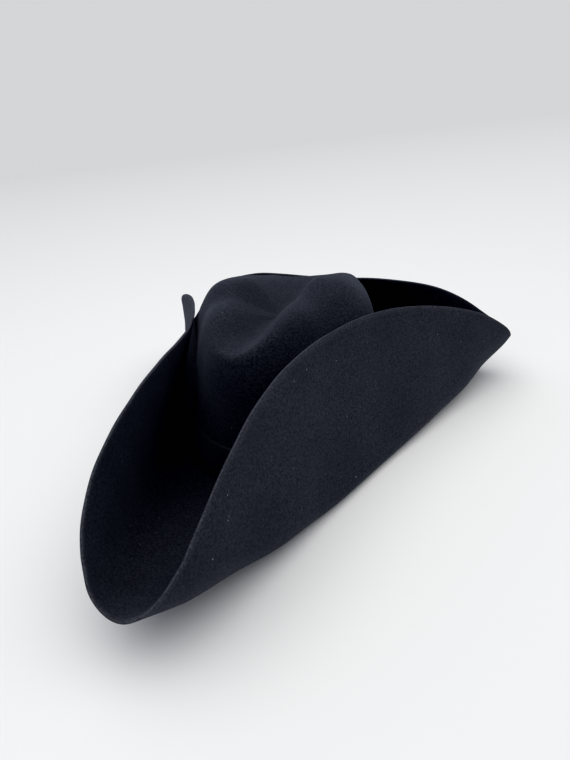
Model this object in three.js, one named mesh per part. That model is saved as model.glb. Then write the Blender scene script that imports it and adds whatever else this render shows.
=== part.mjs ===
// A tricorn hat of black wool felt, in millimetres, +Z up, wearer's front towards -Y.
// The felt is one sheet, blocked into a dented crown and a wide oval brim. The brim is turned up
// along three lines, left, right and back, so that it points forwards and to both rear corners.
// A ribbon band runs round the foot of the crown. The hat rests on the flat underside of the brim.
import * as THREE from "three";

// Felt and head size: the hollow takes a head of about 58 cm.
const FELT = 2.0;
const HEAD_HALF_WIDTH = 82;
const HEAD_HALF_LENGTH = 100;

// Crown: heights of the hollow side of the felt over the table.
const CROWN_HEIGHT = 124.5;
const DENT_DEPTH = 29;
const BREAK_RADIUS = 6.5;

// Flat width of the brim before it is turned up, measured from the head opening.
const BRIM_SIDE = 127;
const BRIM_FRONT = 132;
const BRIM_REAR = 134;

// Ribbon band round the foot of the crown.
const BAND_WIDTH = 26;
const BAND_THICKNESS = 1.0;
const BAND_CLEARANCE = 0.4;
const BAND_FOOT = 1.5;

// Crown, one row every 30 degrees from the front round to the back, mirrored onto the other side.
// The ridge runs round the teardrop dent and the shoulder is where the top rolls over into the wall.
// Reaches are shares of the head oval, heights are shares of CROWN_HEIGHT.
const CROWN = [
  { ridge: 0.9, ridgeHeight: 0.805, shoulder: 0.95, shoulderHeight: 0.73 },
  { ridge: 0.6, ridgeHeight: 0.925, shoulder: 0.81, shoulderHeight: 0.76 },
  { ridge: 0.42, ridgeHeight: 0.94, shoulder: 0.72, shoulderHeight: 0.797 },
  { ridge: 0.425, ridgeHeight: 1.0, shoulder: 0.805, shoulderHeight: 0.857 },
  { ridge: 0.445, ridgeHeight: 0.965, shoulder: 0.815, shoulderHeight: 0.853 },
  { ridge: 0.64, ridgeHeight: 0.883, shoulder: 0.86, shoulderHeight: 0.866 },
  { ridge: 0.768, ridgeHeight: 0.832, shoulder: 0.865, shoulderHeight: 0.772 },
];

// How full the crown's curves are. The dent stays level over the floor's share of the head oval and
// rounds into the ridge over the rest of the side's share of the ridge's reach. From the ridge the
// top stays level over a share of the way to the shoulder, and it rounds off over a share of the run
// and of the drop.
const FULLNESS = { floor: 0.15, side: 0.7, top: 0.65, run: 0.33, drop: 0.85 };

// The three turned-up flaps. faces is the way the flap faces, in degrees round from +X.
// strip, bow and roll are shares of the side width of the brim: the flat strip between the break
// and the fold, how far the fold line curves in at its ends, and the radius of the roll.
// Lean is the angle the felt is turned through; above 90 it leans over the crown.
// Each of lean and roll is given at the first end, the middle and the second end of the fold.
const FLAPS = [
  { name: "left", faces: -22, strip: 0.05, bow: 0.1, lean: [95, 107, 98], roll: [0.17, 0.07, 0.29] },
  { name: "right", faces: 203, strip: 0.045, bow: 0.025, lean: [88, 112, 92], roll: [0.066, 0.083, 0.155] },
  { name: "back", faces: 90, strip: 0.06, bow: 0.01, lean: [85, 121, 85], roll: [0.078, 0.195, 0.2] },
];

// The three corners, in shares of the side width: lift is how far the felt has risen one brim width
// out from the crown, and draw how much longer the felt was drawn there on the block.
const CORNERS = [
  { name: "front", between: ["left", "right"], lift: 0.165, draw: 0.04 },
  { name: "rear_left", between: ["left", "back"], lift: 0.07, draw: 0.045 },
  { name: "rear_right", between: ["back", "right"], lift: 0.18, draw: 0.015 },
];
const LIFT_POWER = 1.5;
const DRAW_HALF_ANGLE = 41;

// Facets: spokes round the hat, closer together at the corners by the bunching share, and rows
// along each spoke.
const SPOKES = 78;
const BUNCHING = 0.45;
const DENT_ROWS = 6;
const TOP_ROWS = 3;
const WALL_ROWS = 5;
const BREAK_ROWS = 2;
const STRIP_ROWS = 2;
const ROLL_ROWS = 4;
const FLAP_ROWS = 5;

const edgeHalfWidth = HEAD_HALF_WIDTH + BRIM_SIDE;
const foldHalfSpan = 0.74 * edgeHalfWidth;

const radians = (degrees) => (degrees * Math.PI) / 180;
const clamp = THREE.MathUtils.clamp;
const lerp = THREE.MathUtils.lerp;

// Distance from the centre to the tangent of the head oval, grown by extra, that faces an angle.
function headTangent(angle, extra) {
  return Math.hypot(HEAD_HALF_WIDTH * Math.cos(angle), HEAD_HALF_LENGTH * Math.sin(angle)) + extra;
}

// Smooth value of a column of the crown's table at an angle round the hat.
function crownValue(column, angle) {
  const turn = THREE.MathUtils.euclideanModulo(THREE.MathUtils.radToDeg(angle) + 90, 360) / 30;
  const row = (index) => {
    const wrapped = THREE.MathUtils.euclideanModulo(index, 12);
    return CROWN[wrapped <= 6 ? wrapped : 12 - wrapped][column];
  };
  const index = Math.floor(turn);
  const share = turn - index;
  const [a, b, c, d] = [row(index - 1), row(index), row(index + 1), row(index + 2)];
  const slopeB = (c - a) / 2;
  const slopeC = (d - b) / 2;
  return (
    b + share * slopeB +
    share ** 2 * (3 * (c - b) - 2 * slopeB - slopeC) +
    share ** 3 * (2 * (b - c) + slopeB + slopeC)
  );
}

// Value at three stations of a fold, first end, middle and second end, as a parabola.
function alongFold([first, middle, second], share) {
  const u = clamp(share, -1.25, 1.25);
  return middle + ((second - first) / 2) * u + ((first + second) / 2 - middle) * u * u;
}

// Fold lines on the flat brim, each with its normal and its distance from the centre.
const folds = FLAPS.map((flap) => {
  const angle = radians(flap.faces);
  return {
    ...flap,
    normal: new THREE.Vector2(Math.cos(angle), Math.sin(angle)),
    along: new THREE.Vector2(-Math.sin(angle), Math.cos(angle)),
    distance: headTangent(angle, BREAK_RADIUS) + flap.strip * BRIM_SIDE,
  };
});

// How far a point of the flat brim lies beyond a fold line, with the fold's roll and lean there.
function foldAt(fold, x, y) {
  const share = (fold.along.x * x + fold.along.y * y) / foldHalfSpan;
  const line = fold.distance - fold.bow * BRIM_SIDE * share * share;
  return {
    beyond: fold.normal.x * x + fold.normal.y * y - line,
    roll: Math.max(alongFold(fold.roll, share) * BRIM_SIDE, 2 * FELT),
    lean: radians(alongFold(fold.lean, share)),
  };
}

// Corner directions lie halfway between the flaps that meet there.
const corners = CORNERS.map((corner) => {
  const [a, b] = corner.between.map((name) => folds.find((fold) => fold.name === name).normal);
  const way = new THREE.Vector2().addVectors(a, b).normalize();
  return { ...corner, way, start: headTangent(way.angle(), BREAK_RADIUS) };
});

// How much longer the felt is at a point of the flat edge, near the corners.
function drawnOut(edge) {
  const halfAngle = radians(DRAW_HALF_ANGLE);
  let extra = 0;
  for (const corner of corners) {
    const apart = Math.acos(clamp(corner.way.dot(edge) / edge.length(), -1, 1));
    if (apart < halfAngle) {
      extra += corner.draw * BRIM_SIDE * (0.5 + 0.5 * Math.cos((Math.PI * apart) / halfAngle));
    }
  }
  return extra;
}

// Underside of the turned-up brim over a point of the flat brim.
function turnedUp(x, y) {
  const point = new THREE.Vector3(x, y, 0);
  for (const fold of folds) {
    const { beyond, roll, lean } = foldAt(fold, x, y);
    if (beyond <= 0) continue;
    const turned = Math.min(beyond / roll, lean);
    const past = Math.max(beyond - roll * lean, 0);
    const inward = roll * Math.sin(turned) + past * Math.cos(lean) - beyond;
    point.x += inward * fold.normal.x;
    point.y += inward * fold.normal.y;
    point.z += roll * (1 - Math.cos(turned)) + past * Math.sin(lean);
  }
  for (const corner of corners) {
    const past = (corner.way.x * x + corner.way.y * y - corner.start) / BRIM_SIDE;
    if (past > 0) point.z += corner.lift * BRIM_SIDE * past ** LIFT_POWER;
  }
  return point;
}

// The crown's part of a spoke: down into the dent, over the top and down the wall.
function crownProfile(angle) {
  const ridge = crownValue("ridge", angle);
  const crest = crownValue("ridgeHeight", angle) * CROWN_HEIGHT;
  const shoulder = crownValue("shoulder", angle);
  const roll = crownValue("shoulderHeight", angle) * CROWN_HEIGHT;
  const floor = CROWN_HEIGHT - DENT_DEPTH;
  const run = FULLNESS.run * (shoulder - ridge);
  const drop = FULLNESS.drop * (crest - roll);
  const curve = (...points) => {
    const [a, b, c, d] = points.map(([reach, height]) => new THREE.Vector2(reach, height));
    return new THREE.CubicBezierCurve(a, b, c, d);
  };
  const dent = curve(
    [0, floor],
    [FULLNESS.floor, floor],
    [FULLNESS.side * ridge, crest],
    [ridge, crest],
  );
  const top = curve(
    [ridge, crest],
    [ridge + FULLNESS.top * (shoulder - ridge), crest],
    [shoulder - run, roll + drop],
    [shoulder, roll],
  );
  const wall = curve(
    [shoulder, roll],
    [shoulder + 0.8 * run, roll - 0.8 * drop],
    [0.5 + 0.5 * shoulder, 0.4 * roll],
    [1, BREAK_RADIUS],
  );
  const points = [];
  for (let i = 0; i < DENT_ROWS; i++) points.push(dent.getPoint(i / DENT_ROWS));
  for (let i = 0; i < TOP_ROWS; i++) points.push(top.getPoint(i / TOP_ROWS));
  for (let i = 0; i < WALL_ROWS; i++) points.push(wall.getPoint(i / WALL_ROWS));
  return points;
}

// One spoke of the hollow side of the felt, from the dent's lowest point out to the brim's edge.
function spoke(angle) {
  const opening = new THREE.Vector2(
    HEAD_HALF_WIDTH * Math.cos(angle),
    HEAD_HALF_LENGTH * Math.sin(angle),
  );
  const points = crownProfile(angle).map(
    ({ x: reach, y: height }) => new THREE.Vector3(reach * opening.x, reach * opening.y, height),
  );

  const edge = new THREE.Vector2(
    edgeHalfWidth * Math.cos(angle),
    (HEAD_HALF_LENGTH + (Math.sin(angle) > 0 ? BRIM_REAR : BRIM_FRONT)) * Math.sin(angle),
  );
  edge.setLength(edge.length() + drawnOut(edge));
  const outward = edge.clone().sub(opening).normalize();
  for (let i = 0; i < BREAK_ROWS; i++) {
    const turned = ((i / BREAK_ROWS) * Math.PI) / 2;
    const out = BREAK_RADIUS * (1 - Math.cos(turned));
    const height = BREAK_RADIUS * (1 - Math.sin(turned));
    points.push(new THREE.Vector3(opening.x + outward.x * out, opening.y + outward.y * out, height));
  }

  const start = opening.addScaledVector(outward, BREAK_RADIUS);
  const flatAt = (share) => start.clone().lerp(edge, share);
  const beyondBy = (share, past) => {
    const { x, y } = flatAt(share);
    return Math.max(...folds.map((fold) => {
      const { beyond, roll, lean } = foldAt(fold, x, y);
      return beyond - past * roll * lean;
    }));
  };
  const shareWhere = (past, low, high) => {
    let [a, b] = [low, high];
    for (let i = 0; i < 24; i++) {
      const middle = (a + b) / 2;
      if (beyondBy(middle, past) < 0) a = middle;
      else b = middle;
    }
    return (a + b) / 2;
  };
  const rollStart = shareWhere(0, 0.02, 0.8);
  const rollEnd = Math.max(shareWhere(1, 0.02, 0.92), rollStart + 0.06);
  const shares = [];
  for (let i = 0; i < STRIP_ROWS; i++) shares.push((rollStart * i) / STRIP_ROWS);
  for (let i = 0; i < ROLL_ROWS; i++) shares.push(lerp(rollStart, rollEnd, i / ROLL_ROWS));
  for (let i = 0; i <= FLAP_ROWS; i++) shares.push(lerp(rollEnd, 1, i / FLAP_ROWS));
  for (const share of shares) {
    const { x, y } = flatAt(share);
    points.push(turnedUp(x, y));
  }
  return points;
}

// Unit normals of a grid of spokes, from the hollow side of the felt to its outside.
function gridNormals(grid) {
  const count = grid.length;
  return grid.map((points, i) =>
    points.map((_, j) => {
      if (j === 0) return new THREE.Vector3(0, 0, 1);
      const before = grid[(i + count - 1) % count][j];
      const after = grid[(i + 1) % count][j];
      const inner = points[j - 1];
      const outer = points[Math.min(j + 1, points.length - 1)];
      const outwards = outer.clone().sub(inner);
      return outwards.cross(after.clone().sub(before)).normalize();
    }),
  );
}

// A closed mesh from rings of equal length; a ring of one point is a pole.
function closedMesh(rings, closesOnItself) {
  const positions = [];
  const starts = [];
  for (const ring of rings) {
    starts.push(positions.length / 3);
    for (const point of ring) positions.push(point.x, point.y, point.z);
  }
  const index = [];
  const last = closesOnItself ? rings.length : rings.length - 1;
  for (let r = 0; r < last; r++) {
    const next = (r + 1) % rings.length;
    const count = Math.max(rings[r].length, rings[next].length);
    for (let i = 0; i < count; i++) {
      const here = (k) => starts[r] + (rings[r].length === 1 ? 0 : k % count);
      const there = (k) => starts[next] + (rings[next].length === 1 ? 0 : k % count);
      if (rings[next].length > 1) index.push(here(i), there(i), there(i + 1));
      if (rings[r].length > 1) index.push(here(i), there(i + 1), here(i + 1));
    }
  }
  const geometry = new THREE.BufferGeometry();
  geometry.setAttribute("position", new THREE.Float32BufferAttribute(positions, 3));
  geometry.setIndex(index);
  geometry.computeVertexNormals();
  return geometry;
}

const angles = Array.from({ length: SPOKES }, (_, i) => {
  const turn = (2 * Math.PI * i) / SPOKES;
  return turn - Math.PI / 2 - (BUNCHING / 3) * Math.sin(3 * turn);
});
const hollowSide = angles.map(spoke);
const normals = gridNormals(hollowSide);
const outsideOf = (i, j, distance) => hollowSide[i][j].clone().addScaledVector(normals[i][j], distance);

// Crown and brim: the outside from the dent to the rim, the rounded cut edge, then the hollow side.
function feltBody() {
  const rows = hollowSide[0].length;
  const ringAt = (j, distance) =>
    j === 0 ? [outsideOf(0, 0, distance)] : angles.map((_, i) => outsideOf(i, j, distance));
  const rings = [];
  for (let j = 0; j < rows; j++) rings.push(ringAt(j, FELT));
  rings.push(
    angles.map((_, i) => {
      const outwards = hollowSide[i][rows - 1].clone().sub(hollowSide[i][rows - 2]).normalize();
      return outsideOf(i, rows - 1, FELT / 2).addScaledVector(outwards, FELT * 0.35);
    }),
  );
  for (let j = rows - 1; j >= 0; j--) rings.push(ringAt(j, 0));
  return closedMesh(rings, false);
}

// Point on the crown's wall at a height, pushed out from the hollow side by a distance.
function onWall(i, height, distance) {
  const foot = DENT_ROWS + TOP_ROWS + WALL_ROWS;
  let j = DENT_ROWS + TOP_ROWS;
  while (j < foot - 1 && hollowSide[i][j + 1].z > height) j++;
  const above = outsideOf(i, j, distance);
  const below = outsideOf(i, j + 1, distance);
  return above.lerp(below, (above.z - height) / (above.z - below.z));
}

// Ribbon: a ring that follows the crown's wall from just over the brim up to its own width.
function hatBand() {
  const foot = BREAK_RADIUS + BAND_FOOT;
  const levels = 4;
  const near = FELT + BAND_CLEARANCE;
  const ring = (level, distance) => angles.map((_, i) => onWall(i, foot + BAND_WIDTH * level, distance));
  const rings = [];
  for (let k = 0; k <= levels; k++) rings.push(ring(1 - k / levels, near + BAND_THICKNESS));
  for (let k = 0; k <= levels; k++) rings.push(ring(k / levels, near));
  return closedMesh(rings, true);
}

const blackFelt = new THREE.MeshStandardMaterial({ color: 0x1b1c20, roughness: 0.95, metalness: 0 });
const blackRibbon = new THREE.MeshStandardMaterial({ color: 0x15161a, roughness: 0.7, metalness: 0 });

const hat = new THREE.Group();
const body = new THREE.Mesh(feltBody(), blackFelt);
body.name = "felt_body";
hat.add(body);
const band = new THREE.Mesh(hatBand(), blackRibbon);
band.name = "hat_band";
hat.add(band);

// The origin is the middle of the hat's outline on the table.
const outline = new THREE.Box3().setFromObject(hat).getCenter(new THREE.Vector3());
hat.position.set(-outline.x, -outline.y, 0);

export default hat;
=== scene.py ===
import bpy
import numpy as np
from mathutils import Matrix, Vector


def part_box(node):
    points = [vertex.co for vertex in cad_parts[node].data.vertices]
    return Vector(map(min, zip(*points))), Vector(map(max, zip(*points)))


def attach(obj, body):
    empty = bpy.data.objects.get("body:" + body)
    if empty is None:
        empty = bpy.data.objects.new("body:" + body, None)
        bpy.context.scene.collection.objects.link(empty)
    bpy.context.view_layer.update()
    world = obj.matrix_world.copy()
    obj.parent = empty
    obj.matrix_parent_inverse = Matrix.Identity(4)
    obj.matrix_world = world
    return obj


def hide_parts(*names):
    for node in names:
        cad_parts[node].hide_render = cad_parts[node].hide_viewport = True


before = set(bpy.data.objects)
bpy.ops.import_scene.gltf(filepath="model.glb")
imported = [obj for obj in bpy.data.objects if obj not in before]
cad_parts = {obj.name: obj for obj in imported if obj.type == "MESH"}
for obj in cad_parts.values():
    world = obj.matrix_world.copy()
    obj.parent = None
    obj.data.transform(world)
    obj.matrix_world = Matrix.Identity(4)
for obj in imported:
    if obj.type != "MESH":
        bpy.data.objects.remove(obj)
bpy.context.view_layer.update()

# Felt body. One sheet of black wool felt, steamed over a block into a crown with a teardrop dent
# and a wide brim. The brim is turned up along three lines, left, right and back, and its edge is
# cut raw. The felt's hollow side is worked out first, and its outside lies one thickness away.
felt = 0.0020
head_half_width = 0.082
head_half_length = 0.100
crown_height = 0.1245
dent_depth = 0.029
break_radius = 0.0065
brim_side = 0.127
brim_front = 0.132
brim_rear = 0.134
edge_half_width = head_half_width + brim_side

# Crown: one row every row_step degrees from the front to the back, with the ridge of the dent, its
# height, the shoulder and its height. Reaches are shares of the head oval, and heights are shares
# of the crown's height.
row_step = 30
crown_rows = np.array([
    (0.90, 0.805, 0.95, 0.73),
    (0.60, 0.925, 0.81, 0.76),
    (0.42, 0.94, 0.72, 0.797),
    (0.425, 1.0, 0.805, 0.857),
    (0.445, 0.965, 0.815, 0.853),
    (0.64, 0.883, 0.86, 0.866),
    (0.768, 0.832, 0.865, 0.772),
])

# How full the crown's curves are: the dent's level floor as a share of the head oval, its side as
# a share of the ridge's reach, then the level top, the run and the drop as shares of the way from
# the ridge to the shoulder.
full_floor, full_side, full_top, full_run, full_drop = 0.15, 0.7, 0.65, 0.33, 0.85

# The wall's curve below the shoulder: the share of the top's run and drop that it carries on with,
# how far its lower half is drawn out from the shoulder to the head oval, and how high that is, as a
# share of the shoulder's height.
wall_carry, wall_out, wall_low = 0.8, 0.5, 0.4

# Flaps: the way each faces, flat strip, bow of the fold, then lean in degrees and roll of the felt
# at the first end, middle and second end. Strip, bow and roll are shares of the brim's side width.
flaps = {
    "left": dict(faces=-22, strip=0.05, bow=0.1, lean=(95, 107, 98), roll=(0.17, 0.07, 0.29)),
    "right": dict(faces=203, strip=0.045, bow=0.025, lean=(88, 112, 92),
                  roll=(0.066, 0.083, 0.155)),
    "back": dict(faces=90, strip=0.06, bow=0.01, lean=(85, 121, 85), roll=(0.078, 0.195, 0.2)),
}

# Half the length of a fold line, over which a flap's values change, how far past its ends they go
# on changing, and the tightest roll that felt of this thickness takes.
fold_half_span = 0.74 * edge_half_width
past_fold_ends = 1.25
tightest_roll = 2 * felt

# Corners: the flaps that meet there, the rise of the felt and how much longer it was drawn.
corners = [
    dict(between=("left", "right"), lift=0.165, draw=0.04),
    dict(between=("left", "back"), lift=0.07, draw=0.045),
    dict(between=("back", "right"), lift=0.18, draw=0.015),
]
lift_power = 1.5
draw_half_angle = np.radians(41)

# Fineness of the mesh: spokes round the hat, closer together at the corners, and steps along each
# spoke for the dent, top and wall, the break, the brim's strip, roll and flap, and the cut edge.
spokes = 360
bunching = 0.45
crown_steps = (20, 14, 20)
break_steps = 7
brim_steps = (4, 18, 26)
rim_steps = 6
halvings = 24


def facing(degrees):
    """Unit vector that points the given number of degrees round from +X."""
    return np.array([np.cos(np.radians(degrees)), np.sin(np.radians(degrees))])


def head_tangent(way):
    """Distance from the centre to the tangent of the head oval that faces a unit vector."""
    return np.hypot(head_half_width * way[0], head_half_length * way[1])


def along_fold(stations, share):
    """Parabola through the values at a fold's first end, middle and second end."""
    first, middle, second = stations
    u = np.clip(share, -past_fold_ends, past_fold_ends)
    return middle + (second - first) / 2 * u + ((first + second) / 2 - middle) * u**2


def beyond_fold(flap, flat):
    """Distance of points of the flat brim beyond a flap's bowed fold line, with the roll and the
    lean there."""
    way = facing(flap["faces"])
    along = np.array([-way[1], way[0]])
    share = flat @ along / fold_half_span
    strip = (flap["strip"] - flap["bow"] * share**2) * brim_side
    line = head_tangent(way) + break_radius + strip
    roll = np.maximum(along_fold(flap["roll"], share) * brim_side, tightest_roll)
    return flat @ way - line, roll, np.radians(along_fold(flap["lean"], share))


def corner_way(corner):
    """Unit vector halfway between the two flaps that meet at a corner."""
    halfway = sum(facing(flaps[name]["faces"]) for name in corner["between"])
    return halfway / np.linalg.norm(halfway)


def turned_up(flat):
    """Places points of the flat brim on the turned-up one. Beyond a fold the felt runs round an
    arc of the roll's radius through the lean, then straight on, and near a corner it rises as a
    power of the distance out from the crown."""
    point = np.concatenate([flat, np.zeros(flat.shape[:-1] + (1,))], axis=-1)
    for flap in flaps.values():
        beyond, roll, lean = beyond_fold(flap, flat)
        turned = np.clip(beyond / roll, 0, lean)
        past = np.maximum(beyond - roll * lean, 0)
        inward = roll * np.sin(turned) + past * np.cos(lean) - np.maximum(beyond, 0)
        point[..., :2] += inward[..., None] * facing(flap["faces"])
        point[..., 2] += roll * (1 - np.cos(turned)) + past * np.sin(lean)
    for corner in corners:
        way = corner_way(corner)
        past = np.maximum(flat @ way - head_tangent(way) - break_radius, 0) / brim_side
        point[..., 2] += corner["lift"] * brim_side * past**lift_power
    return point


def bezier(stations, share):
    """Cubic Bezier curves through whole arrays of control points, one curve for each spoke."""
    a, b, c, d = (np.stack(station, axis=-1)[:, None] for station in stations)
    t = share[..., None]
    return (1 - t)**3 * a + 3 * (1 - t)**2 * t * b + 3 * (1 - t) * t**2 * c + t**3 * d


def crown_curves(angle):
    """Control points of each spoke's dent, top and wall, as pairs of a share of the head oval and
    a height. The crown's rows are joined by a smooth cubic round the hat."""
    rows = np.concatenate([crown_rows, crown_rows[-2:0:-1]])
    turn = np.degrees(angle + np.pi / 2) % 360 / row_step
    index = np.floor(turn).astype(int)
    share = (turn - index)[:, None]
    a, b, c, d = (rows[(index + step) % len(rows)] for step in (-1, 0, 1, 2))
    value = b + share * (c - a) / 2
    value += share**2 * (3 * (c - b) - (c - a) - (d - b) / 2)
    value += share**3 * (2 * (b - c) + (c - a) / 2 + (d - b) / 2)
    ridge, crest, shoulder, roll = value.T
    crest = crest * crown_height
    roll = roll * crown_height
    floor = np.full_like(ridge, crown_height - dent_depth)
    run = full_run * (shoulder - ridge)
    drop = full_drop * (crest - roll)
    zero = np.zeros_like(ridge)
    foot = np.full_like(ridge, break_radius)
    dent = [(zero, floor), (zero + full_floor, floor), (full_side * ridge, crest), (ridge, crest)]
    top = [
        (ridge, crest),
        (ridge + full_top * (shoulder - ridge), crest),
        (shoulder - run, roll + drop),
        (shoulder, roll),
    ]
    wall = [
        (shoulder, roll),
        (shoulder + wall_carry * run, roll - wall_carry * drop),
        (wall_out + (1 - wall_out) * shoulder, wall_low * roll),
        (zero + 1, foot),
    ]
    return dent, top, wall


def on_oval(angle, profile):
    """Turns pairs of reach and height into points over the head oval."""
    reach, height = profile[..., 0], profile[..., 1]
    x = reach * (head_half_width * np.cos(angle))[:, None]
    y = reach * (head_half_length * np.sin(angle))[:, None]
    return np.stack([x, y, height], axis=-1)


def hat_spokes(count):
    """Angles round the hat from the front, closer together at the corners."""
    turn = 2 * np.pi * np.arange(count) / count
    return turn - np.pi / 2 - bunching / len(corners) * np.sin(len(corners) * turn)


def brim_edge(angle, way):
    """Edge of the flat brim: an oval whose length differs in front and behind, drawn out near
    each corner by a cosine bump of the angle from it."""
    brim_length = np.where(way[:, 1] > 0, brim_rear, brim_front)
    half_width = np.full_like(angle, edge_half_width)
    edge = way * np.stack([half_width, head_half_length + brim_length], axis=-1)
    reach = np.linalg.norm(edge, axis=-1)
    longer = np.zeros_like(reach)
    for corner in corners:
        apart = np.arccos(np.clip(edge @ corner_way(corner) / reach, -1, 1))
        bump = 0.5 + 0.5 * np.cos(np.pi * np.minimum(apart / draw_half_angle, 1))
        longer += corner["draw"] * brim_side * bump
    return edge * (1 + longer / reach)[:, None]


def hollow_side(angle):
    """Grid of the felt's hollow side, a spoke for each angle, from the dent's lowest point over
    the crown, round the break and out to the brim's edge."""
    parts = []
    for curve, steps in zip(crown_curves(angle), crown_steps):
        share = np.tile(np.arange(steps) / steps, (len(angle), 1))
        parts.append(on_oval(angle, bezier(curve, share)))

    way = np.stack([np.cos(angle), np.sin(angle)], axis=-1)
    opening = way * (head_half_width, head_half_length)
    edge = brim_edge(angle, way)
    outward = edge - opening
    outward /= np.linalg.norm(outward, axis=-1)[:, None]

    bend = np.arange(break_steps) / break_steps * np.pi / 2
    foot = opening[:, None] + outward[:, None] * (break_radius * (1 - np.cos(bend)))[:, None]
    height = np.tile(break_radius * (1 - np.sin(bend)), (len(angle), 1))
    parts.append(np.concatenate([foot, height[..., None]], axis=-1))

    start = opening + outward * break_radius

    def flat_at(share):
        """Points of the flat brim at shares of the way from the break to the edge."""
        return start[:, None] + (edge - start)[:, None] * share[..., None]

    def share_where(past, lowest, highest):
        """Bisects each spoke for the share at which a roll starts, past 0, or ends, past 1."""
        low = np.full((len(angle), 1), lowest)
        high = np.full((len(angle), 1), highest)
        for _ in range(halvings):
            middle = (low + high) / 2
            lengths = []
            for flap in flaps.values():
                beyond, roll, lean = beyond_fold(flap, flat_at(middle))
                lengths.append(beyond - past * roll * lean)
            short = np.max(lengths, axis=0) < 0
            low = np.where(short, middle, low)
            high = np.where(short, high, middle)
        return (low + high) / 2

    shortest_strip, shortest_roll = 0.02, 0.06
    roll_start = share_where(0, shortest_strip, 0.8)
    roll_end = np.maximum(share_where(1, shortest_strip, 0.92), roll_start + shortest_roll)
    strip, roll, flap = (np.arange(steps) / steps for steps in brim_steps)
    share = np.concatenate([
        roll_start * strip,
        roll_start + (roll_end - roll_start) * roll,
        roll_end + (1 - roll_end) * flap,
        np.ones_like(roll_end),
    ], axis=1)
    parts.append(turned_up(flat_at(share)))
    return np.concatenate(parts, axis=1)


def outside_normals(grid):
    """Unit normals of a grid that closes round its first axis, away from the hollow side: the
    cross product of the way out along a spoke and the way round the hat."""
    out = np.gradient(grid, axis=1)
    round_hat = np.roll(grid, -1, axis=0) - np.roll(grid, 1, axis=0)
    normal = np.cross(out, round_hat)
    return normal / np.maximum(np.linalg.norm(normal, axis=-1, keepdims=True), 1e-12)


def ring_mesh(name, grid, loops, masks):
    """Mesh of a grid of rings: quads between neighbours round the hat and from ring to ring. The
    ring axis closes on itself if loops is true, and otherwise each end ring is one point, a pole.
    Each mask is kept as an attribute of the points."""
    count, rings = grid.shape[:2]
    if loops:
        points = grid.reshape(-1, 3)
        index = np.arange(count * rings).reshape(count, rings)
        index = np.concatenate([index, index[:, :1]], axis=1)
    else:
        points = np.concatenate([grid[:, 1:-1].reshape(-1, 3), grid[:1, 0], grid[:1, -1]])
        index = np.arange(count * (rings - 2)).reshape(count, rings - 2)
    beside = np.roll(index, -1, axis=0)
    quads = np.stack([index[:, :-1], index[:, 1:], beside[:, 1:], beside[:, :-1]], axis=-1)
    faces = quads.reshape(-1, 4).tolist()
    if not loops:
        first = np.full(count, len(points) - 2)
        last = np.full(count, len(points) - 1)
        faces += np.stack([first, index[:, 0], beside[:, 0]], axis=-1).tolist()
        faces += np.stack([last, beside[:, -1], index[:, -1]], axis=-1).tolist()
    mesh = bpy.data.meshes.new(name)
    mesh.from_pydata(points.tolist(), [], faces)
    for mask, values in masks.items():
        if not loops:
            values = np.concatenate([values[:, 1:-1].ravel(), values[0, :1], values[0, -1:]])
        layer = mesh.attributes.new(mask, "FLOAT", "POINT")
        layer.data.foreach_set("value", np.asarray(values, dtype=np.float32).ravel())
    mesh.polygons.foreach_set("use_smooth", np.ones(len(mesh.polygons), dtype=bool))
    mesh.update()
    piece = bpy.data.objects.new(name, mesh)
    bpy.context.scene.collection.objects.link(piece)
    return piece


def hand_worked(grid):
    """Small unevenness of felt that was steamed and turned by hand, in metres: slow waves that
    are deeper on the brim, and finer ripples. Each is a product of two sines over the hat, whose
    factors are radians a metre."""
    wave_depth, brim_wave_depth, ripple_depth = 0.0006, 0.0006, 0.00025
    x, y, z = np.moveaxis(grid, -1, 0)
    wave = np.sin(61 * x + 37 * y + 1.0) * np.sin(29 * y - 43 * z + 0.4)
    ripple = np.sin(131 * x - 97 * y + 2.1) * np.sin(83 * z + 71 * y)
    out = np.hypot(x / head_half_width, y / head_half_length)
    depth = wave_depth + brim_wave_depth * np.clip(out - 1, 0, 1)
    return depth * wave + ripple_depth * ripple


# The unevenness fades out in the lowest few millimetres, where the felt lies flat on the table.
flat_below = 0.012
angles = hat_spokes(spokes)
hollow = hollow_side(angles)
normals = outside_normals(hollow)
normals[:, 0] = (0, 0, 1)
above_table = np.clip(hollow[..., 2] / flat_below, 0, 1)[..., None]
hollow = hollow + normals * hand_worked(hollow)[..., None] * above_table
outside = hollow + normals * felt

# The cut edge bulges a little less than a half circle would, and a power under 1 squares it. Its
# paler tone, painted for its frayed fibres and the highlight that they catch, fades within a
# thickness of it.
rim_bulge, rim_square = 0.7, 0.6
fray_and_highlight_reach = 0.42 * felt
edge_normal = normals[:, -1:]
edge_out = hollow[:, -1:] - hollow[:, -2:-1]
edge_out /= np.linalg.norm(edge_out, axis=-1, keepdims=True)
rim_turn = np.pi * np.arange(1, rim_steps) / rim_steps
across_rim = np.sign(np.cos(rim_turn)) * np.abs(np.cos(rim_turn)) ** rim_square
out_of_rim = rim_bulge * np.sin(rim_turn) ** rim_square
rim_middle = (hollow[:, -1:] + outside[:, -1:]) / 2
rim_bow = edge_normal * across_rim[:, None] + edge_out * out_of_rim[:, None]
rim = rim_middle + felt / 2 * rim_bow
felt_grid = np.concatenate([outside, rim, hollow[:, ::-1]], axis=1)

lowest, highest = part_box("felt_body")
frame_middle = np.array((lowest + highest) / 2)
own_middle = (felt_grid.min(axis=(0, 1)) + felt_grid.max(axis=(0, 1))) / 2
head_centre = np.array([*(frame_middle - own_middle)[:2], 0.0])

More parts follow.
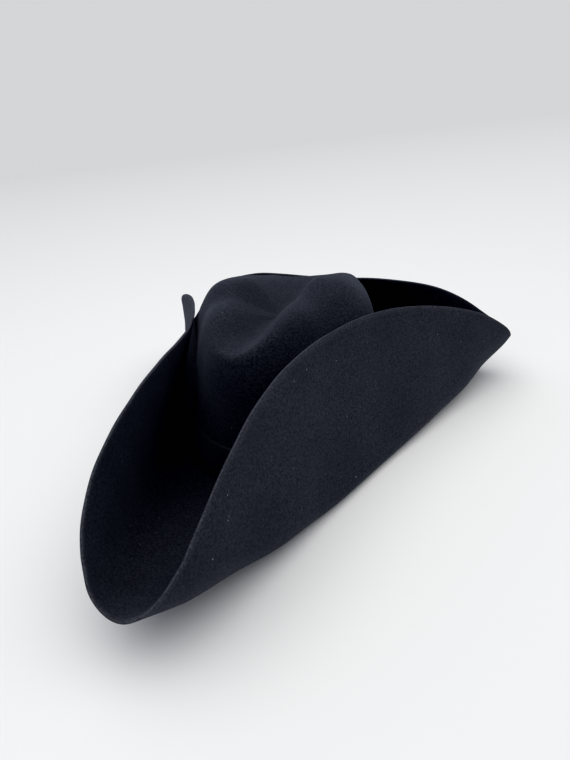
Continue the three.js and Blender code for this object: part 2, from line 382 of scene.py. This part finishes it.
rim_reach = np.linalg.norm(felt_grid - rim_middle, axis=-1)
cut_edge = np.exp(-((rim_reach / fray_and_highlight_reach) ** 2))
felt_piece = ring_mesh("felt_sheet", felt_grid + head_centre, False, {"cut_edge": cut_edge})
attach(felt_piece, "root")
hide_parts("felt_body")


def new_group(name, inputs, outputs):
    """Shader node group with named sockets, and its two end nodes."""
    group = bpy.data.node_groups.new(name, "ShaderNodeTree")
    for socket, kind, value in inputs:
        made = group.interface.new_socket(socket, in_out="INPUT", socket_type=kind)
        if value is not None:
            made.default_value = value
    for socket, kind in outputs:
        group.interface.new_socket(socket, in_out="OUTPUT", socket_type=kind)
    return group, group.nodes.new("NodeGroupInput"), group.nodes.new("NodeGroupOutput")


def put(tree, kind, links=None, **settings):
    """Adds a node to a tree, sets its properties and links or sets its inputs."""
    node = tree.nodes.new(kind)
    for key, value in settings.items():
        setattr(node, key, value)
    for key, value in (links or {}).items():
        if isinstance(value, bpy.types.NodeSocket):
            tree.links.new(value, node.inputs[key])
        else:
            node.inputs[key].default_value = value
    return node


def arithmetic(tree, operation, first, second=0.0):
    """One arithmetic step on two values, or on the first alone."""
    return put(tree, "ShaderNodeMath", {0: first, 1: second}, operation=operation).outputs[0]


def vector_step(tree, operation, first, second):
    """One arithmetic step on two vectors."""
    node = put(tree, "ShaderNodeVectorMath", {0: first, 1: second}, operation=operation)
    return node.outputs[0]


def noise(tree, place, scale, detail, roughness):
    """Cloudy pattern of values between 0 and 1, with as many features a metre as the scale."""
    links = {"Vector": place, "Scale": scale, "Detail": detail, "Roughness": roughness}
    return put(tree, "ShaderNodeTexNoise", links).outputs["Fac"]


def ramp(tree, value, low, high, to_low=0.0, to_high=1.0):
    """Smooth step of a value between two limits."""
    links = {0: value, 1: low, 2: high, 3: to_low, 4: to_high}
    return put(tree, "ShaderNodeMapRange", links, interpolation_type="SMOOTHSTEP").outputs[0]


def blend(tree, share, first, second):
    """Mixes two colours by a share."""
    node = put(tree, "ShaderNodeMix", {"Factor": share}, data_type="RGBA")
    for socket, colour in ((node.inputs[6], first), (node.inputs[7], second)):
        if isinstance(colour, bpy.types.NodeSocket):
            tree.links.new(colour, socket)
        else:
            socket.default_value = (*colour, 1)
    return node.outputs[2]


def new_material(name, settings):
    """Material, with its tree, its shader with the named inputs set, and the coordinates of the
    object that wears it."""
    material = bpy.data.materials.new(name)
    material.use_nodes = True
    tree = material.node_tree
    shader = tree.nodes["Principled BSDF"]
    for key, value in settings.items():
        shader.inputs[key].default_value = value
    return material, tree, shader, put(tree, "ShaderNodeTexCoord").outputs["Object"]


# Lint: a few pale specks and short threads, which black felt always picks up. Most cells of a cell
# pattern stay empty. A speck is the middle of a cell whose random value is in the chosen share, and
# a noise bends it.
thread_bend = 0.0012
lint, lint_in, lint_out = new_group(
    "lint",
    [("Coordinates", "NodeSocketVector", None), ("Cells", "NodeSocketFloat", 220.0),
     ("Size", "NodeSocketFloat", 0.1), ("Share", "NodeSocketFloat", 0.02)],
    [("Mask", "NodeSocketFloat")],
)
lint_place, lint_cells, lint_size, lint_share = list(lint_in.outputs)[:4]
warp = put(lint, "ShaderNodeTexNoise", {"Vector": lint_place, "Scale": 700.0, "Detail": 2.0})
bent = vector_step(lint, "MULTIPLY", warp.outputs["Color"], (thread_bend,) * 3)
moved = vector_step(lint, "ADD", lint_place, bent)
cells = put(lint, "ShaderNodeTexVoronoi", {"Vector": moved, "Scale": lint_cells})
near = arithmetic(lint, "LESS_THAN", cells.outputs["Distance"], lint_size)
chance = put(lint, "ShaderNodeSeparateColor", {0: cells.outputs["Color"]})
chosen = arithmetic(lint, "LESS_THAN", chance.outputs[0], lint_share)
lint.links.new(arithmetic(lint, "MULTIPLY", near, chosen), lint_out.inputs[0])


def black_felt():
    """Black wool felt: matt and slightly blue, mottled by matted fibres at half a millimetre and
    by pebbling at two, clouded where it is worn, with a pale fuzz where light grazes it and a
    cut edge painted paler, for its hairy fibre ends and the highlight that they catch."""
    dark_fibre, pale_fibre = (0.0170, 0.0185, 0.0238), (0.0570, 0.0598, 0.0683)
    worn_tone, worn_share = (0.019, 0.0205, 0.026), 0.35
    # The cut edge's pale tone is partly painted highlight, for the light that its fibre ends catch.
    edge_tone = (0.15, 0.15, 0.157)
    lint_tone, lint_cover = (0.32, 0.32, 0.33), 0.6
    material, tree, shader, place = new_material("black_felt", {
        "Specular IOR Level": 0.15,
        "Sheen Weight": 0.12,
        "Sheen Roughness": 0.6,
        "Sheen Tint": (0.75, 0.8, 0.9, 1),
    })
    fibre = noise(tree, place, 2100.0, 2.0, 0.7)
    pebble = noise(tree, place, 700.0, 3.0, 0.65)
    cloud = noise(tree, place, 22.0, 3.0, 0.55)
    tuft = noise(tree, place, 900.0, 2.0, 0.5)
    matted = arithmetic(tree, "MULTIPLY", arithmetic(tree, "ADD", fibre, pebble), 0.5)
    mottled = blend(tree, ramp(tree, matted, 0.39, 0.61), dark_fibre, pale_fibre)
    worn = blend(tree, ramp(tree, cloud, 0.35, 0.7), mottled, worn_tone)
    clouded = blend(tree, worn_share, mottled, worn)
    edge = put(tree, "ShaderNodeAttribute", attribute_name="cut_edge").outputs["Fac"]
    # Paler cut edge in tufts: hairy fibre ends, with a painted highlight on them.
    hairy_highlight = arithmetic(tree, "MULTIPLY", edge, ramp(tree, tuft, 0.3, 0.65, 0.25, 1.0))
    edged = blend(tree, hairy_highlight, clouded, edge_tone)
    specks = put(tree, "ShaderNodeGroup", node_tree=lint)
    tree.links.new(place, specks.inputs["Coordinates"])
    specks.inputs["Cells"].default_value = 280.0
    specks.inputs["Size"].default_value = 0.13
    specks.inputs["Share"].default_value = 0.035
    cover = arithmetic(tree, "MULTIPLY", specks.outputs["Mask"], lint_cover)
    grain = put(tree, "ShaderNodeBump", {"Height": matted, "Distance": 0.0006, "Strength": 0.55})
    tree.links.new(blend(tree, cover, edged, lint_tone), shader.inputs["Base Color"])
    tree.links.new(ramp(tree, matted, 0.3, 0.7, 0.98, 0.86), shader.inputs["Roughness"])
    tree.links.new(grain.outputs[0], shader.inputs["Normal"])
    return material


felt_piece.data.materials.append(black_felt())


# Hat band. A plain black ribbon with fine cross ribs and firm edges, laid flat round the foot of
# the crown and lapped over itself on the wearer's left.
band_width = 0.026
band_thickness = 0.001
band_clearance = 0.0004
band_foot = 0.0015
band_spokes = 720
band_levels = 14

# The ribbon thins towards its selvedges. The lap is a raised stretch of it with steep ends. Both
# thicknesses are shares of the ribbon's, the selvedge's width is a share of the ribbon's width,
# and the lap's slope is a share of its half width.
selvedge_thickness, selvedge_width = 0.6, 0.06
lap_thickness, lap_slope = 0.45, 0.08
lap_angle = np.radians(12)
lap_half_width = 0.009


def band_heights(angle, heights):
    """Points of the hollow side of the crown's wall at given heights, by bisecting each spoke's
    wall curve for the share at which it passes the height."""
    wall = crown_curves(angle)[2]
    low = np.zeros((len(angle), len(heights)))
    high = np.ones_like(low)
    for _ in range(halvings):
        middle = (low + high) / 2
        above = bezier(wall, middle)[..., 1] > heights
        low = np.where(above, middle, low)
        high = np.where(above, high, middle)
    return on_oval(angle, bezier(wall, (low + high) / 2))


band_angles = 2 * np.pi * np.arange(band_spokes) / band_spokes - np.pi / 2
level = np.linspace(0, 1, band_levels)
heights = break_radius + band_foot + band_width * (1 - level)
wall_points = band_heights(band_angles, heights)
wall_normals = outside_normals(wall_points)
from_selvedge = np.clip(np.minimum(level, 1 - level) / selvedge_width, 0, 1)
thickness = selvedge_thickness + (1 - selvedge_thickness) * from_selvedge
from_lap = (band_angles - lap_angle + np.pi) % (2 * np.pi) - np.pi
lap_reach = np.abs(from_lap) * head_half_width / lap_half_width
lap = lap_thickness * np.clip((1 - lap_reach) / lap_slope, 0, 1)[:, None]
inner_face = wall_points + wall_normals * (felt + band_clearance)
outer_face = inner_face + wall_normals * (band_thickness * (thickness + lap))[..., None]
band_grid = np.concatenate([outer_face, inner_face[:, ::-1]], axis=1)
across_band = np.tile(np.concatenate([level, level[::-1]]), (band_spokes, 1))
band_piece = ring_mesh("ribbon", band_grid + head_centre, True, {"across": across_band})
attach(band_piece, "root")
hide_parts("hat_band")


def black_ribbon():
    """Black ribbed ribbon: ribs a millimetre apart run up the band as waves of the angle round
    the crown, with a soft sheen and denser edges."""
    between_ribs, on_ribs = (0.024, 0.025, 0.031), (0.053, 0.055, 0.063)
    edge_tone, firm_from = (0.030, 0.030, 0.036), 0.46
    ribs_round = 540.0
    material, tree, shader, place = new_material("black_ribbon", {
        "Specular IOR Level": 0.4,
        "Sheen Weight": 0.1,
    })
    centred = vector_step(tree, "SUBTRACT", place, tuple(head_centre))
    sides = put(tree, "ShaderNodeSeparateXYZ", {0: centred})
    angle = arithmetic(tree, "ARCTAN2", sides.outputs["Y"], sides.outputs["X"])
    rib = arithmetic(tree, "SINE", arithmetic(tree, "MULTIPLY", angle, ribs_round))
    weave = noise(tree, place, 2200.0, 2.0, 0.5)
    height = arithmetic(tree, "ADD", rib, arithmetic(tree, "MULTIPLY", weave, 0.6))
    across = put(tree, "ShaderNodeAttribute", attribute_name="across").outputs["Fac"]
    off_middle = arithmetic(tree, "ABSOLUTE", arithmetic(tree, "SUBTRACT", across, 0.5))
    firm = arithmetic(tree, "GREATER_THAN", off_middle, firm_from)
    ribbed = blend(tree, ramp(tree, height, -1.0, 1.6), between_ribs, on_ribs)
    relief = put(tree, "ShaderNodeBump", {"Height": height, "Distance": 0.0002, "Strength": 0.6})
    tree.links.new(blend(tree, firm, ribbed, edge_tone), shader.inputs["Base Color"])
    tree.links.new(ramp(tree, weave, 0.3, 0.7, 0.62, 0.5), shader.inputs["Roughness"])
    tree.links.new(relief.outputs[0], shader.inputs["Normal"])
    return material


band_piece.data.materials.append(black_ribbon())


# Floor: a plain pale sheet in soft light from one very wide window high up over the hat, with
# painted shade that darkens it a little far away, where the light falls off. The room fills the
# shade with a bluish light, and behind the floor it has the tone of the sheet's far end, so that
# no edge shows.
half_floor = 12.0
near_floor = np.array([0.85, 0.835, 0.79])
# The far tone is painted shade, where the light falls off far from the hat.
far_floor_painted_shade = np.array([0.60, 0.587, 0.555])
floor_half_way = 1.1
window_strength, window_spread = 1.4, 95
window_turn, window_rise = 70, 82
window_colour = np.array([1.0, 0.98, 0.93])
room_fill = np.array([0.37, 0.40, 0.48])

floor_mesh = bpy.data.meshes.new("floor")
floor_corners = [
    (-half_floor, -half_floor, 0),
    (half_floor, -half_floor, 0),
    (half_floor, half_floor, 0),
    (-half_floor, half_floor, 0),
]
floor_mesh.from_pydata(floor_corners, [], [(0, 1, 2, 3)])
floor = bpy.data.objects.new("floor", floor_mesh)
bpy.context.scene.collection.objects.link(floor)

pale, pale_tree, pale_shader, floor_place = new_material("pale_floor", {
    "Roughness": 0.9,
    "Specular IOR Level": 0.0,
})
# The sheet's tone darkens with distance: painted shade for the light's falloff.
away = put(pale_tree, "ShaderNodeVectorMath", {0: floor_place}, operation="LENGTH").outputs["Value"]
past_half = arithmetic(pale_tree, "ADD", away, floor_half_way)
fade = arithmetic(pale_tree, "DIVIDE", away, past_half)
floor_tone_with_painted_shade = blend(pale_tree, fade, near_floor, far_floor_painted_shade)
pale_tree.links.new(floor_tone_with_painted_shade, pale_shader.inputs["Base Color"])
floor.data.materials.append(pale)


def towards(turn, rise):
    """Unit vector turned round from the front and raised over the horizon, both in degrees."""
    turn, rise = np.radians([turn, rise])
    return np.array([np.sin(turn) * np.cos(rise), -np.cos(turn) * np.cos(rise), np.sin(rise)])


window_light = bpy.data.lights.new("window", "SUN")
window_light.energy = window_strength
window_light.angle = np.radians(window_spread)
window_light.color = window_colour
window = bpy.data.objects.new("window", window_light)
window_way = Vector(towards(window_turn, window_rise))
window.rotation_euler = window_way.to_track_quat("Z", "Y").to_euler()
bpy.context.scene.collection.objects.link(window)

on_floor = window_strength * np.sin(np.radians(window_rise)) / np.pi * window_colour + room_fill
far_end = near_floor + (far_floor_painted_shade - near_floor) * half_floor / (half_floor + floor_half_way)
room = bpy.data.worlds.new("room")
bpy.context.scene.world = room
room.use_nodes = True
seen = put(room.node_tree, "ShaderNodeLightPath").outputs["Is Camera Ray"]
room_light = blend(room.node_tree, seen, room_fill, far_end * on_floor)
room.node_tree.links.new(room_light, room.node_tree.nodes["Background"].inputs["Color"])

# Camera: at the photograph's place, a wide lens near the hat, tipped a little to one side. The
# picture's darkest shades run to black, as the photograph's do.
camera_from_head = (0.1446, -0.3546, 0.2268)
camera_turn, camera_rise = 22.6, 26.2
camera_roll = np.radians(-7.07)
darkest_shade = (0.0100, 0.0100, 0.0085)

back = towards(camera_turn, camera_rise)
level_right = np.array([*facing(camera_turn), 0])
level_up = np.cross(back, level_right)
right = np.cos(camera_roll) * level_right + np.sin(camera_roll) * level_up
up = np.cross(back, right)
camera_data = bpy.data.cameras.new("camera")
camera_data.lens = 23.57
camera_data.sensor_width = 36
camera_data.clip_start = 0.01
camera = bpy.data.objects.new("camera", camera_data)
tipped = Matrix(np.stack([right, up, back], axis=1).tolist()).to_4x4()
camera.matrix_world = Matrix.Translation(Vector(head_centre + camera_from_head)) @ tipped
bpy.context.scene.collection.objects.link(camera)
bpy.context.scene.camera = camera

tones = bpy.context.scene.view_settings
tones.view_transform = "Standard"
tones.look = "High Contrast"
tones.use_curve_mapping = True
tones.curve_mapping.black_level = darkest_shade
tones.curve_mapping.update()
